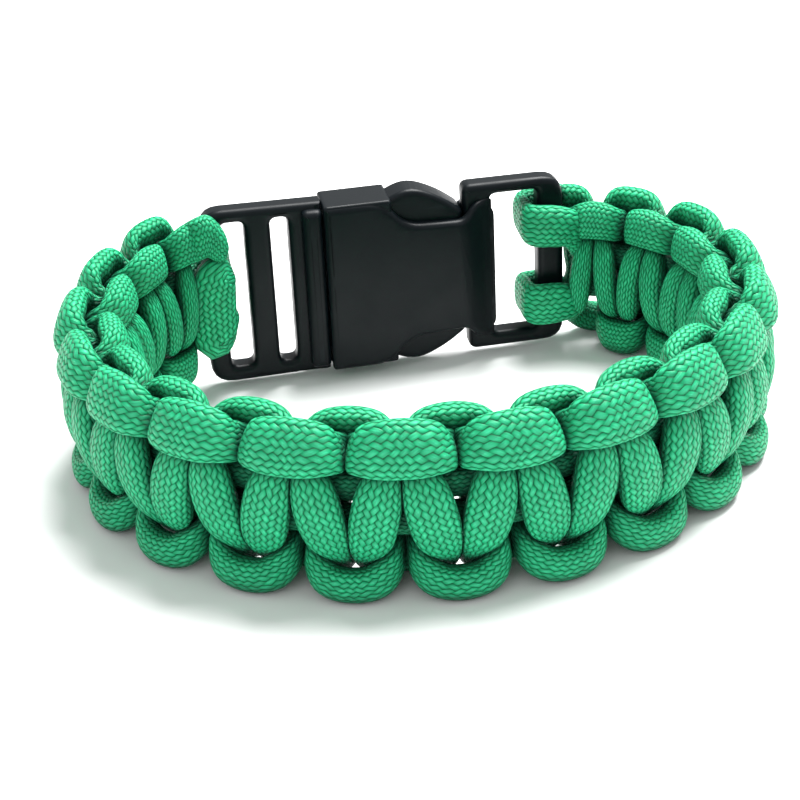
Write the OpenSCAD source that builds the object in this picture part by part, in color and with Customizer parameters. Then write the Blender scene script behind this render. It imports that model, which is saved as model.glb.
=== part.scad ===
// Woven cord bracelet with a moulded side-release buckle.
// The loop lies flat: its axis is +Z and it stands on its lower edge. The buckle is at the back (+Y).

/* [Loop] */
// Width of the loop, between the middles of the band
loop_width = 74.6; // [68:0.1:82]
// Depth of the loop, from the middle of the band in front to the buckle bars
loop_depth = 51.8; // [47:0.1:57]
// How far forward the rounded corners beside the buckle reach
corner_depth = 19.1; // [16:0.1:22]

/* [Cord] */
// Thickness of the round cord before it is pulled tight
cord_size = 4; // [3.6:0.05:4.2]
// Number of half knots, an odd number
half_knots = 33; // [29:2:37]
// How much closer together the knots sit at the two ends
end_crowding = 0.13; // [0:0.01:0.16]
// Free space between the first crossing and the middle of a buckle bar
end_gap = 4.2; // [4:0.1:6]
// How much nearer the socket than the plug the weave ends
end_shift = 0.4; // [0:0.1:0.6]
// How far the band climbs on its way to the plug
plug_rise = 2.9; // [1.5:0.1:3.2]

/* [Buckle] */
// Length of the closed buckle
buckle_length = 45.2; // [43:0.1:48]
// Height of the buckle, across the band
buckle_height = 22.4; // [21:0.1:25]
// How far the middle of the buckle sits above the middle of the band
buckle_lift = 2.2; // [0.8:0.1:2.4]
// Thickness of the two ladder frames
frame_thickness = 3.2; // [2.6:0.1:3.6]
// Thickness of the socket body
body_thickness = 6.8; // [6.2:0.1:8]
// Height of the rails above and below the slots
rail = 1.8; // [1.4:0.1:2.4]
// Width of the plug's outer bar, which the cord is looped on
plug_bar = 2.5; // [2.1:0.1:2.7]
// Width of the plug's outer slot
plug_slot = 2.45; // [2.4:0.05:3]
// Width of the plug's middle bar
middle_bar = 3.65; // [3:0.05:4]
// Width of the plug's inner slot
inner_slot = 2; // [1.6:0.05:2.3]
// Length of the plug outside the socket
plug_length = 14.9; // [14:0.1:16]
// Width of the socket's end bar
end_bar = 3.6; // [3:0.1:3.8]
// Width of the socket's slot
end_slot = 4.5; // [4.3:0.1:5]
// Wall of the socket body in front of the slot
end_wall = 4.8; // [4.4:0.1:5.2]
// How far the press pads stand out past the buckle's height
pad_reach = 0.5; // [0.2:0.1:0.8]

/* [Hidden] */
clearance = 0.1;
strand_gap = 0.06;
sides = 8;
core_sides = 6;
round_to_sides = 1.04;
corner_radius = 1.2;
neck_reach = 1.6;
neck_overlap = 0.6;
neck_inset = 2.4;

// One strand from the middle of a crossing to the middle of a loop.
// Columns: share of a pitch along the band; then height, outward place, half width and half
// thickness as shares of the cord size; then the share of a quarter turn of the flattened cord.
ALONG = 0; UP = 1; OUT = 2; WIDE = 3; THICK = 4; TURN = 5;
half_crossing = [
    [ 0.000, 0.00,  0.790, 0.575, 0.360, 0.00],
    [-0.100, 0.75,  0.685, 0.515, 0.310, 0.00],
    [-0.230, 1.24,  0.350, 0.285, 0.285, 0.00],
    [-0.265, 1.65, -0.055, 0.210, 0.460, 0.10],
    [-0.110, 1.89, -0.550, 0.240, 0.580, 0.48],
    [ 0.500, 1.96, -0.750, 0.355, 0.665, 1.00]];
// The outer strand's last crossing runs off towards the socket's bar instead of turning back.
tail = [
    [0.10, 0.62, 0.815, 0.460, 0.350],
    [0.30, 1.10, 0.825, 0.400, 0.340],
    [0.56, 1.42, 0.850, 0.370, 0.330]];
last_row = len(half_crossing) - 1;
cell_pitch = 1.175 * cord_size;

// Middle line of the band: half an ellipse in front, a quarter ellipse in each back corner
bar_span = buckle_length - plug_bar / 2 - end_bar / 2;
bar_half = bar_span / 2;
buckle_start = -bar_half - plug_bar / 2;
quarter_steps = 24;
function front_point(a) =
    [loop_width / 2 * sin(a), -corner_depth - (loop_depth - corner_depth) * cos(a)];
function corner_point(a) =
    [bar_half + (loop_width / 2 - bar_half) * cos(a), -corner_depth * (1 - sin(a))];
function front_heading(a) = atan2((loop_depth - corner_depth) * sin(a), loop_width / 2 * cos(a));
function corner_heading(a) = atan2(corner_depth * cos(a), -(loop_width / 2 - bar_half) * sin(a));
half_path = concat(
    [for (i = [0 : quarter_steps]) front_point(90 * i / quarter_steps)],
    [for (i = [1 : quarter_steps]) corner_point(90 * i / quarter_steps)]);
half_heading = concat(
    [for (i = [0 : quarter_steps]) front_heading(90 * i / quarter_steps)],
    [for (i = [1 : quarter_steps]) corner_heading(90 * i / quarter_steps)]);
function run_lengths(i = 0, total = 0) =
    i >= len(half_path) ? [] :
    let (now = total + (i == 0 ? 0 : norm(half_path[i] - half_path[i - 1])))
    concat([now], run_lengths(i + 1, now));
half_run = run_lengths();
path_half = half_run[len(half_run) - 1];
x_table = [for (i = [0 : len(half_run) - 1]) [half_run[i], half_path[i][0]]];
y_table = [for (i = [0 : len(half_run) - 1]) [half_run[i], half_path[i][1]]];
heading_table = [for (i = [0 : len(half_run) - 1]) [half_run[i], half_heading[i]]];
woven_half = path_half - end_gap;

// Place of half knot number j along the band
function knot_place(j) =
    let (u = (j - (half_knots - 1) / 2) / (half_knots / 2))
    woven_half * (u * (1 + end_crowding) - end_crowding * pow(u, 3)) + end_shift * pow(u, 4);
// How far the band is raised at a place along it
function rise(s) = s < 0 ? plug_rise * pow(max(0, 1 - (path_half + s) / rise_length), 1.2) : 0;
// A point in the band: s along it, v above its middle, w outward
function band_point(s, v, w) =
    let (side = s < 0 ? -1 : 1, a = min(abs(s), path_half),
         h = side * lookup(a, heading_table))
    [side * lookup(a, x_table) + w * sin(h), lookup(a, y_table) - w * cos(h) + shift_y,
     band_middle + v + rise(s)];

rise_length = 4.5 * cord_size;
band_reach = 2.585 * cord_size;
pad_top = buckle_height / 2 + pad_reach;
band_middle = max(band_reach, pad_top - buckle_lift);
buckle_middle = band_middle + buckle_lift;
shift_y = (loop_depth + 1.17 * cord_size - (frame_thickness / 2 + 0.87 * cord_size)) / 2;

function unit(v) = v / norm(v);
function across(v, t) = unit(v - t * (t * v));

// Rows of the outer strand. The inner strand is the same strand turned half over.
function crossing_row(j, k, up) =
    let (r = half_crossing[abs(k)], g = k < 0 ? -1 : 1)
    [j + g * r[ALONG], up * g * r[UP], r[OUT], r[WIDE], r[THICK], g * r[TURN], up];
function tail_row(r) = [half_knots - 1 + r[ALONG], -r[UP], r[OUT], r[WIDE], r[THICK], 0, -1];
function strand_rows(has_tail) = concat(
    [for (j = [0 : half_knots - 1])
        for (k = [(j == 0 ? -last_row : 1 - last_row) : (has_tail && j == half_knots - 1 ? 0 : last_row)])
            crossing_row(j, k, j % 2 == 1 ? 1 : -1)],
    has_tail ? [for (r = tail) tail_row(r)] : []);

function ring(p, t, a, half_wide, half_thick, n) =
    let (b = cross(t, a))
    [for (k = [0 : n - 1])
        let (q = 360 * (k + 0.5) / n)
        p + a * half_wide * round_to_sides * cos(q) + b * half_thick * round_to_sides * sin(q)];

function cell_place(r) = [r[0] * cell_pitch, r[1] * cord_size, r[2] * cord_size];
function slope(places, i) =
    unit(places[min(i + 1, len(places) - 1)] - places[max(i - 1, 0)]);

// The flattened rings are worked out in a straight band and then bent round the loop
function strand_points(rows, turned) =
    let (places = [for (r = rows) cell_place(r)])
    [for (i = [0 : len(rows) - 1])
        let (r = rows[i], t = slope(places, i),
             a = across(r[6] * [cos(90 * r[TURN]), 0, sin(90 * r[TURN])], t))
        for (q = ring(places[i], t, a, r[WIDE] * cord_size - strand_gap,
                      r[THICK] * cord_size - strand_gap, sides))
            band_point(knot_place(q[0] / cell_pitch), turned * q[1], turned * q[2])];

module tube_solid(points, n) {
    rings = len(points) / n;
    last = (rings - 1) * n;
    polyhedron(points, concat(
        [for (i = [0 : rings - 2]) for (k = [0 : n - 1])
            [i * n + k, (i + 1) * n + (k + 1) % n, i * n + (k + 1) % n]],
        [for (i = [0 : rings - 2]) for (k = [0 : n - 1])
            [i * n + k, (i + 1) * n + k, (i + 1) * n + (k + 1) % n]],
        [for (k = [1 : n - 2]) [0, k, k + 1]],
        [for (k = [1 : n - 2]) [last, last + k + 1, last + k]]));
}

// The core cord, from the bar of the socket round the loop to the plug's bar and back.
// Columns: reach from the bar's middle towards the band; outward place; height; half width up;
// half thickness. Reach and outward place count from the bar's own edge where a bar is passed.
core_up = 0.52 * cord_size;
core_wide = 0.41 * cord_size;
core_thick = 0.375 * cord_size;
bar_out = frame_thickness / 2 + 0.40 * cord_size + clearance;
wrap_thick = 0.36 * cord_size;
end_place = path_half - knot_place(half_knots - 1);

// Round the socket's bar, from the butt joint on the outer face to the core
function socket_wrap(first) = concat(first, [
    [0, bar_out, 1.46, 0.54, 0.34],
    [-end_bar / 2 - 0.26 * cord_size, 0.79 * bar_out, 1.42, 0.60, 0.28],
    [-end_bar / 2 - 0.34 * cord_size, 0, 1.36, 0.64, 0.26],
    [-end_bar / 2 - 0.26 * cord_size, -0.79 * bar_out, 1.32, 0.64, 0.28],
    [0, -bar_out, 1.24, 0.62, 0.34],
    [end_bar / 2 + 0.12 * cord_size, -0.81 * bar_out, 1.03, 0.43, 0.25],
    [end_bar / 2 + 0.38 * cord_size, -0.17 * bar_out, 0.65, 0.39, 0.24]]);
upper_return = [
    [end_place - 0.58 * cell_pitch, 0.895 * cord_size, 1.93, 0.58, 0.32],
    [end_bar / 2 + 0.12 * cord_size, 0.890 * cord_size, 1.74, 0.54, 0.33]];
lower_return = [
    [end_place - 0.72 * cell_pitch, 0.860 * cord_size, 1.52, 0.44, 0.33]];
// Round the plug's bar, from the core to the middle of the bridge. The last column is the share
// of a quarter turn of the flattened cord where it bends up the bar.
plug_wrap = [
    [plug_bar / 2 + 0.48 * cord_size, 0.34 * bar_out, 0.57, 0.36, 0.27, 0],
    [plug_bar / 2 + 0.18 * cord_size, 0.80 * bar_out, 0.84, 0.46, 0.27, 0],
    [0, bar_out, 0.98, 0.48, 0.32, 0],
    [-plug_bar / 2 - 0.22 * cord_size, 0.76 * bar_out, 1.02, 0.48, 0.24, 0],
    [-plug_bar / 2 - 0.26 * cord_size, 0, 1.02, 0.48, 0.20, 0],
    [-plug_bar / 2 - 0.24 * cord_size, -0.76 * bar_out, 0.98, 0.46, 0.25, 0.10],
    [0.02 * plug_bar, -bar_out, 0.76, 0.50, 0.34, 0.70],
    [0.24 * plug_bar, -bar_out, 0.30, 0.60, 0.35, 1]];
// The outer strand starts on the plug bar's wrist face, above the bridge. Columns: reach towards
// the band, outward place, height above the band, half thickness and half width.
head = [
    [-0.34 * plug_bar, -bar_out, 2.30, 0.28, 0.34],
    [0.20 * plug_bar, -bar_out, 2.38, 0.34, 0.44],
    [0.84 * plug_bar, -bar_out, 2.46, 0.36, 0.54]];
first_turn = band_point(knot_place(-0.5), half_crossing[last_row][UP] * cord_size,
                        half_crossing[last_row][OUT] * cord_size);
head_places = concat(
    [for (r = head) [-bar_half - r[0], r[1] + shift_y, band_middle + r[2] * cord_size]],
    [first_turn]);
head_points = [for (i = [0 : len(head) - 1])
    let (t = slope(head_places, i))
    for (q = ring(head_places[i], t, across([0, 1, 0], t), head[i][3] * cord_size - strand_gap,
                  head[i][4] * cord_size - strand_gap, sides)) q];

// The wraps sit level with the buckle and drop to the band's level on their way into it
function bar_point(side, r, up) =
    let (bar = side > 0 ? end_bar : plug_bar,
         drop = max(0, 1 - max(0, r[0] - bar / 2) / (0.48 * cord_size)),
         raise = side > 0 ? buckle_lift * drop : min(buckle_lift, rise(r[0] - path_half)))
    [side * (bar_half + r[0]), r[1] + shift_y, up * r[2] * cord_size + band_middle + raise];
function core_run(up) = [
    for (m = [0 : half_knots - 1])
        let (p = band_point(knot_place(up > 0 ? half_knots - 1 - m : m), up * core_up, 0))
        [p[0], p[1], p[2], core_wide, core_thick, 0, up]];
function wrap_rows(side, rows, up) = [
    for (r = rows) let (p = bar_point(side, r, up))
        [p[0], p[1], p[2], r[3] * cord_size, r[4] * cord_size, len(r) > 5 ? r[5] : 0, up]];
function reversed(list) = [for (i = [len(list) - 1 : -1 : 0]) list[i]];
core_rows = concat(
    wrap_rows(1, socket_wrap(upper_return), 1),
    core_run(1),
    wrap_rows(-1, plug_wrap, 1),
    reversed(wrap_rows(-1, plug_wrap, -1)),
    core_run(-1),
    reversed(wrap_rows(1, socket_wrap(lower_return), -1)));
core_places = [for (r = core_rows) [r[0], r[1], r[2]]];
core_points = [for (i = [0 : len(core_rows) - 1])
    let (r = core_rows[i], t = slope(core_places, i),
         a = across([-sin(90 * r[5]), 0, r[6] * cos(90 * r[5])], t))
    for (q = ring(core_places[i], t, a, r[3] - strand_gap, r[4] - strand_gap, core_sides)) q];

// Buckle: drawn in its own plane, length along X from the plug's outer edge, height along Z
module upright(thickness)
    translate([buckle_start, shift_y, buckle_middle])
    rotate([90, 0, 0]) linear_extrude(thickness, center = true) children();
module rounded(x0, x1, half_z, r)
    translate([x0, -half_z]) union() {
        translate([r, 0]) square([x1 - x0 - 2 * r, 2 * half_z]);
        translate([0, r]) square([x1 - x0, 2 * half_z - 2 * r]);
        for (x = [r, x1 - x0 - r]) for (z = [r, 2 * half_z - r]) translate([x, z]) circle(r, $fn = 48);
    }
half_z = buckle_height / 2;
slot_half = half_z - rail;
slot_radius = 0.6;
slot_1 = plug_bar;
slot_2 = plug_bar + plug_slot + middle_bar;
flange_start = slot_2 + inner_slot + 1.9;
socket_end = buckle_length;
slot_3 = socket_end - end_bar - end_slot;
hall_end = slot_3 - end_wall;
window_start = hall_end - 10.8;
neck_end = hall_end + neck_reach;
hall_half_y = body_thickness / 2 - 1;
hall_half_z = half_z - 1.2;
arm_half_y = hall_half_y - 2 * clearance;

// Plug: ladder frame with two slots, flange, two spring arms with press pads, middle tongue.
// Columns of the arm's outline: share of the way from the flange to the arm's tip, and share of
// the pad's height.
arm_outline = [
    [0.00, 0.42], [0.00, 0.72], [0.38, 0.80], [0.42, 0.93], [0.50, 0.98], [0.62, 1.00],
    [0.76, 0.97], [0.89, 0.89], [0.985, 0.79], [0.985, 0.63], [0.74, 0.60], [0.34, 0.54]];
module arm_shape(up) {
    reach = hall_end - plug_length;
    polygon([for (q = arm_outline) [plug_length - 0.4 + q[0] * (reach + 0.4), up * q[1] * pad_top]]);
}
module buckle_plug() color([0.12, 0.13, 0.14]) union() {
    upright(frame_thickness) difference() {
        rounded(0, plug_length - clearance, half_z, corner_radius);
        rounded(slot_1, slot_1 + plug_slot, slot_half, slot_radius);
        rounded(slot_2, slot_2 + inner_slot, slot_half, slot_radius);
    }
    upright(body_thickness - 0.8)
        rounded(flange_start, plug_length - clearance, half_z - 0.5, 0.6);
    upright(2 * arm_half_y) { arm_shape(1); arm_shape(-1); }
    upright(2.4) translate([plug_length - 0.4, -1.8]) square([0.7 * (hall_end - plug_length), 3.6]);
}

// Socket: hollow body open on its mouth and at the two windows, end frame with one slot
module body_outline()
    polygon([
        [plug_length, -half_z], [window_start + 1, -half_z], [hall_end - 4.2, -half_z + 0.9],
        [hall_end, -half_z + neck_inset], [neck_end, -half_z + neck_inset],
        [neck_end, half_z - neck_inset], [hall_end, half_z - neck_inset], [hall_end - 4.2, half_z - 0.9],
        [window_start + 1, half_z], [plug_length, half_z]]);
module body_side()
    polygon([
        [plug_length, -body_thickness / 2 + 0.5], [plug_length + 1, -body_thickness / 2],
        [hall_end - 1, -body_thickness / 2], [slot_3 - neck_overlap, -frame_thickness / 2],
        [slot_3 - neck_overlap, frame_thickness / 2], [hall_end - 1, body_thickness / 2],
        [plug_length + 1, body_thickness / 2], [plug_length, body_thickness / 2 - 0.5]]);
module buckle_socket() color([0.12, 0.13, 0.14]) union() {
    difference() {
        intersection() {
            upright(body_thickness) union() {
                body_outline();
                translate([neck_end, -half_z + corner_radius])
                    square([slot_3 - neck_overlap - neck_end, 2 * (half_z - corner_radius)]);
            }
            translate([buckle_start, shift_y, buckle_middle])
                linear_extrude(2 * half_z, center = true) body_side();
        }
        translate([buckle_start + plug_length - 1, shift_y - hall_half_y, buckle_middle - hall_half_z])
            cube([hall_end - plug_length + 1, 2 * hall_half_y, 2 * hall_half_z]);
        translate([buckle_start + window_start, shift_y - hall_half_y, buckle_middle - half_z - 1])
            cube([hall_end - window_start, 2 * hall_half_y, 2 * half_z + 2]);
    }
    upright(frame_thickness) difference() {
        rounded(neck_end, socket_end, half_z, corner_radius);
        rounded(slot_3, slot_3 + end_slot, slot_half, slot_radius);
    }
}

module core_cord() color([0.16, 0.60, 0.42]) tube_solid(core_points, core_sides);
module outer_strand() color([0.20, 0.68, 0.48]) tube_solid(concat(head_points, strand_points(strand_rows(true), 1)), sides);
module inner_strand() color([0.18, 0.64, 0.45]) tube_solid(strand_points(strand_rows(false), -1), sides);

buckle_plug();
buckle_socket();
core_cord();
outer_strand();
inner_strand();
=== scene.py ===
# %% [markdown]
# # A woven cord bracelet with a side-release buckle
# The bracelet is one 4 mm braided nylon cord, tied in a long row of half knots round its own core, and
# closed by a black moulded buckle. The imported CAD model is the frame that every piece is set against. This
# file dresses it with finer shapes and real finishes, one cell at a time.

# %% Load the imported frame
import math
from functools import partial
import bmesh
import bpy
import numpy as np
from mathutils import Matrix, Vector
from mathutils.bvhtree import BVHTree


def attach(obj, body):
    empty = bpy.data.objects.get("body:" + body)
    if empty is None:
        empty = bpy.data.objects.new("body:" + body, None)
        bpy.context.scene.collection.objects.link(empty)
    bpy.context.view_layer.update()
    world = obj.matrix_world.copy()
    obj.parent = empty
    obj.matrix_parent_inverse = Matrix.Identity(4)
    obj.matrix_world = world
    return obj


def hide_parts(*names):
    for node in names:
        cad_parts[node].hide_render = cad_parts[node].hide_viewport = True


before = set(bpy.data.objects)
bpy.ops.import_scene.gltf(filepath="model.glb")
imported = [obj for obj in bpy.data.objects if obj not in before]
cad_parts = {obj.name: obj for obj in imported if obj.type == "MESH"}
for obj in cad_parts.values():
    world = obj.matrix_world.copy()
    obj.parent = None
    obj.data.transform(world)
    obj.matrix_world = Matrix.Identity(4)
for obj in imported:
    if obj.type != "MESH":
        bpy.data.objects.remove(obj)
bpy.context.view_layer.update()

# %% [markdown]
# The maker thinks in millimetres and Blender in metres. These are the sizes that the CAD part was built
# from, so that the fine shapes below land on the same places. Only the lie of the band's two ends (END_GAP,
# END_SHIFT, PLUG_RISE and RISE_LENGTH) was fitted to the photograph more closely here.

# %% Sizes of the bracelet, in millimetres
MM = 0.001
LOOP_WIDTH, LOOP_DEPTH, CORNER_DEPTH = 74.6, 51.8, 19.1
CORD = 4.0
HALF_KNOTS = 33
CROWDING = 0.13
END_GAP, END_SHIFT, PLUG_RISE = 3.2, 1.1, 3.8
RISE_LENGTH = 7.0 * CORD
BUCKLE_LENGTH, BUCKLE_HEIGHT, BUCKLE_LIFT = 45.2, 22.4, 2.2
FRAME_THICK, BODY_THICK = 3.2, 6.8
PLUG_BAR, PLUG_SLOT, MIDDLE_BAR, INNER_SLOT = 2.5, 2.45, 3.65, 2.0
PLUG_LENGTH = 14.9
END_BAR, END_SLOT, END_WALL = 3.6, 4.5, 4.8
PAD_REACH = 0.5
BAR_HALF = (BUCKLE_LENGTH - PLUG_BAR / 2 - END_BAR / 2) / 2
BAND_MIDDLE = 2.585 * CORD
BUCKLE_MIDDLE = BAND_MIDDLE + BUCKLE_LIFT
SHIFT_Y = (LOOP_DEPTH + 1.17 * CORD - (FRAME_THICK / 2 + 0.87 * CORD)) / 2
print("band middle", BAND_MIDDLE, "buckle middle", BUCKLE_MIDDLE, "bars at y", round(SHIFT_Y, 2), "mm")

# %% [markdown]
# The middle line of the band is half an ellipse in front and a quarter ellipse in each back corner. It is
# kept as a poly curve, because Geometry Nodes can ask a curve for the place and direction at any length
# along it.

# %% Middle line of the band
def band_line(steps=220):
    a = np.linspace(0, np.pi / 2, steps)
    front = np.c_[LOOP_WIDTH / 2 * np.sin(a), -CORNER_DEPTH - (LOOP_DEPTH - CORNER_DEPTH) * np.cos(a)]
    corner = np.c_[BAR_HALF + (LOOP_WIDTH / 2 - BAR_HALF) * np.cos(a), -CORNER_DEPTH * (1 - np.sin(a))]
    right = np.vstack([front, corner[1:]])
    left = right[::-1] * [-1, 1]
    line = np.vstack([left, right[1:]])
    line[:, 1] += SHIFT_Y
    return line


def run_along(points):
    return np.r_[0, np.cumsum(np.linalg.norm(np.diff(points, axis=0), axis=1))]


LINE = band_line()
RUN = run_along(LINE)
PATH_HALF = RUN[-1] / 2
WOVEN_HALF = PATH_HALF - END_GAP
SPARE = 5.0     # the path runs this far past both bars, for the strand that starts on the plug's bar


def put(name, data):
    obj = bpy.data.objects.new(name, data)
    bpy.context.scene.collection.objects.link(obj)
    return obj


def path_object(name, points):
    curve = bpy.data.curves.new(name, "CURVE")
    curve.dimensions = "3D"
    spline = curve.splines.new("POLY")
    spline.points.add(len(points) - 1)
    for point, place in zip(spline.points, points):
        point.co = (place[0] * MM, place[1] * MM, 0, 1)
    return put(name, curve)


band_path = path_object("band_path", np.vstack([LINE[0] + [SPARE, 0], LINE, LINE[-1] - [SPARE, 0]]))
print("band length", round(RUN[-1], 1), "mm")

# %% [markdown]
# Hand-tied knots sit closer together towards the ends, and near the plug the band climbs to the buckle's
# level. Two small rules say where each half knot sits along the line and how far the band has climbed
# there.

# %% Places of the half knots
RISE_POWER = 1.2


def knot_place(j):
    u = (np.asarray(j, float) - (HALF_KNOTS - 1) / 2) / (HALF_KNOTS / 2)
    return WOVEN_HALF * (u * (1 + CROWDING) - CROWDING * u**3) + END_SHIFT * u**4


def rise(s):
    return PLUG_RISE * max(0, 1 - (PATH_HALF + s) / RISE_LENGTH) ** RISE_POWER if s < 0 else 0.0


print("first and last half knot at", [round(float(knot_place(j)), 1) for j in (0, HALF_KNOTS - 1)], "mm")

# %% [markdown]
# One small function adds a node of any kind to any tree, with its settings and its links. The bare name of
# an operation stands for a math node. That keeps the trees below short enough to read.

# %% The node helper
MIX = "ShaderNodeMix"


def fill(tree, node, values):
    for key, value in values.items():
        socket = node.inputs[key]
        if isinstance(value, bpy.types.NodeSocket):
            tree.links.new(value, socket)
        elif isinstance(value, bpy.types.Node):
            tree.links.new(value.outputs[0], socket)
        else:
            socket.default_value = value
    return node


def add(tree, kind, *values, **settings):
    """Add a node. Values fill its inputs in order, or one dictionary says which goes where."""
    if "Node" not in kind:      # a bare operation, such as ADD, is a math node
        kind, settings = "ShaderNodeMath", {"operation": kind}
    node = tree.nodes.new(kind)
    for key, value in settings.items():
        setattr(node, key, value)
    named = values and isinstance(values[0], dict)
    return fill(tree, node, values[0] if named else dict(enumerate(values)))


def start_material(name):
    material = bpy.data.materials.new(name)
    material.use_nodes = True
    tree = material.node_tree
    return material, tree, tree.nodes["Principled BSDF"], partial(add, tree)


print("helpers ready:", fill.__name__, add.__name__, start_material.__name__)

# %% [markdown]
# A half knot is one strand crossing over the core and turning back at the edge. Working strands are soft,
# so they press flat where they cross and stand on edge where they turn. The tables below hold half of one
# crossing and its turn. Hand-tied turns differ from edge to edge: those of one edge are pulled straight and
# square, those of the other stay rounder.

# %% Tables of one crossing
CELL = 5.2      # one half knot along the straight band, in mm, before the band is bent and crowded
# share of a pitch along the band; height, outward place, half width and half thickness in cords; quarter
# turns; lean in degrees
OUTER_UP = [    # the outer strand's upper turn, a round arc on the wrist's side
    [0.000, 0.00, 0.800, 0.590, 0.390, 0.00, 0],
    [-0.115, 0.75, 0.700, 0.535, 0.345, 0.00, 0],
    [-0.250, 1.24, 0.370, 0.340, 0.320, 0.00, 0],
    [-0.300, 1.58, -0.040, 0.250, 0.480, 0.10, 0],
    [-0.220, 1.74, -0.380, 0.270, 0.520, 0.40, 8],
    [0.060, 1.88, -0.560, 0.340, 0.570, 0.88, 14],
    [0.500, 1.93, -0.580, 0.390, 0.600, 1.00, 16]]
OUTER_DOWN = [  # its lower turn
    [0.000, 0.00, 0.800, 0.590, 0.390, 0.00, 0],
    [-0.130, 0.80, 0.720, 0.545, 0.350, 0.00, 0],
    [-0.275, 1.34, 0.400, 0.330, 0.320, 0.00, 0],
    [-0.310, 1.64, -0.040, 0.250, 0.450, 0.10, 0],
    [-0.230, 1.78, -0.420, 0.270, 0.500, 0.40, 4],
    [0.060, 1.92, -0.620, 0.340, 0.560, 0.88, 8],
    [0.500, 1.96, -0.640, 0.390, 0.580, 1.00, 8]]
INNER_UP = [    # the inner strand's upper turn, a square bar on the outside
    [0.000, 0.00, 0.800, 0.590, 0.390, 0.00, 0],
    [-0.120, 0.75, 0.700, 0.535, 0.345, 0.00, 0],
    [-0.260, 1.26, 0.360, 0.340, 0.320, 0.00, 0],
    [-0.315, 1.54, -0.020, 0.240, 0.480, 0.08, 12],
    [-0.280, 1.74, -0.460, 0.255, 0.580, 0.34, 24],
    [0.020, 1.92, -0.690, 0.340, 0.740, 0.84, 24],
    [0.500, 1.95, -0.690, 0.390, 0.790, 1.00, 24]]
INNER_DOWN = [  # its lower turn, a round loop on the outside
    [0.000, 0.00, 0.800, 0.590, 0.390, 0.00, 0],
    [-0.115, 0.75, 0.700, 0.535, 0.345, 0.00, 0],
    [-0.250, 1.20, 0.360, 0.340, 0.320, 0.00, 0],
    [-0.300, 1.46, -0.080, 0.240, 0.420, 0.10, 0],
    [-0.215, 1.70, -0.500, 0.290, 0.440, 0.40, 0],
    [0.080, 2.02, -0.800, 0.390, 0.470, 0.85, 0],
    [0.500, 2.12, -0.870, 0.430, 0.480, 1.00, 0]]
LAST = len(OUTER_UP) - 1
print("rows in a half crossing", len(OUTER_UP))

# %% [markdown]
# A smooth curve through the rows gives the strand's place, size and turn at every step, and mirror copies
# give the rest of the weave. The section is a superellipse: an oval whose sides are a little flattened, as
# those of a soft cord under pull are.

# %% From rows to rings
AROUND = 28         # points in one ring of a strand
SUBSTEPS = 5        # rings for each row of the tables
SQUARENESS = 2.5    # 2 is a plain oval
PERIOD = 2 * 2 * LAST * SUBSTEPS


def oval(around, squareness):
    q = 2 * np.pi * np.arange(around) / around
    return [np.sign(part) * np.abs(part) ** (2 / squareness) for part in (np.cos(q), np.sin(q))]


def crossing_rows(j, first, last, upper, lower):
    rows = []
    up = 1 if j % 2 else -1
    for k in range(first, last + 1):
        g = -1 if k < 0 else 1
        along, high, out, wide, thick, turn, lean = (upper if up * g > 0 else lower)[abs(k)]
        rows.append([(j + g * along) * CELL, up * g * high * CORD, out * CORD, wide * CORD, thick * CORD,
                     math.pi * (j + 1) + g * turn * math.pi / 2, math.radians(lean) * up * g])
    return rows


def smooth_rows(rows, steps):
    rows = np.asarray(rows, float)
    padded = np.vstack([2 * rows[0] - rows[1], rows, 2 * rows[-1] - rows[-2]])
    out = []
    for i in range(1, len(padded) - 2):
        p0, p1, p2, p3 = padded[i - 1:i + 3]
        for t in np.arange(steps) / steps:
            out.append(0.5 * (2 * p1 + (p2 - p0) * t + (2 * p0 - 5 * p1 + 4 * p2 - p3) * t * t
                              + (3 * p1 - p0 - 3 * p2 + p3) * t**3))
    return np.array(out + [rows[-1]])


def ring_stack(rows, flat, lean, around, squareness):
    """Ovals square to the path, each with its wide side towards flat."""
    place = rows[:, :3]
    along = np.gradient(place, axis=0)
    along /= np.linalg.norm(along, axis=1)[:, None]
    wide = flat - along * np.sum(along * flat, 1)[:, None]
    wide /= np.linalg.norm(wide, axis=1)[:, None]
    thick = np.cross(along, wide)
    # the lean tips the section towards the middle of the band's thickness, whichever way the strand runs
    tip = lean * np.sign(along[:, 0])
    wide, thick = (wide * np.cos(tip)[:, None] + thick * np.sin(tip)[:, None],
                   thick * np.cos(tip)[:, None] - wide * np.sin(tip)[:, None])
    c, s = oval(around, squareness)
    return (place[:, None] + wide[:, None] * (rows[:, 3, None] * c)[..., None]
            + thick[:, None] * (rows[:, 4, None] * s)[..., None])


def rings_of(rows):
    flat = np.c_[np.cos(rows[:, 5]), 0 * rows[:, 5], np.sin(rows[:, 5])]
    return ring_stack(rows, flat, rows[:, 6], AROUND, SQUARENESS)


def one_period(upper, lower):
    rows = []
    for j in (-1, 0, 1, 2):
        rows += crossing_rows(j, -LAST, LAST - (j < 2), upper, lower)
    return rings_of(smooth_rows(rows, SUBSTEPS))[PERIOD // 2:PERIOD // 2 + PERIOD]


outer_period = one_period(OUTER_UP, OUTER_DOWN)
# the inner strand runs the same way turned half round, so its upper turn is made as a lower one
inner_period = one_period(INNER_DOWN, INNER_UP)
print("rings in one period", len(outer_period))

# %% [markdown]
# The strands start a little too fat, and are then pressed against each other, as a tight knot presses them.
# A point that sits inside a neighbour is moved back by half the overlap, the move is smoothed, and this is
# repeated. The flats and creases of the real weave come from this. First come the helpers that find how far
# each point is inside a neighbour.

# %% Find where strands overlap
GAP = 0.05      # the clearance kept between two cords, in mm
REACH = 2.2     # how far a point looks for a neighbour, in mm
CHUNK = 20      # rings that are set against the rest of their own strand at a time
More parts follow.
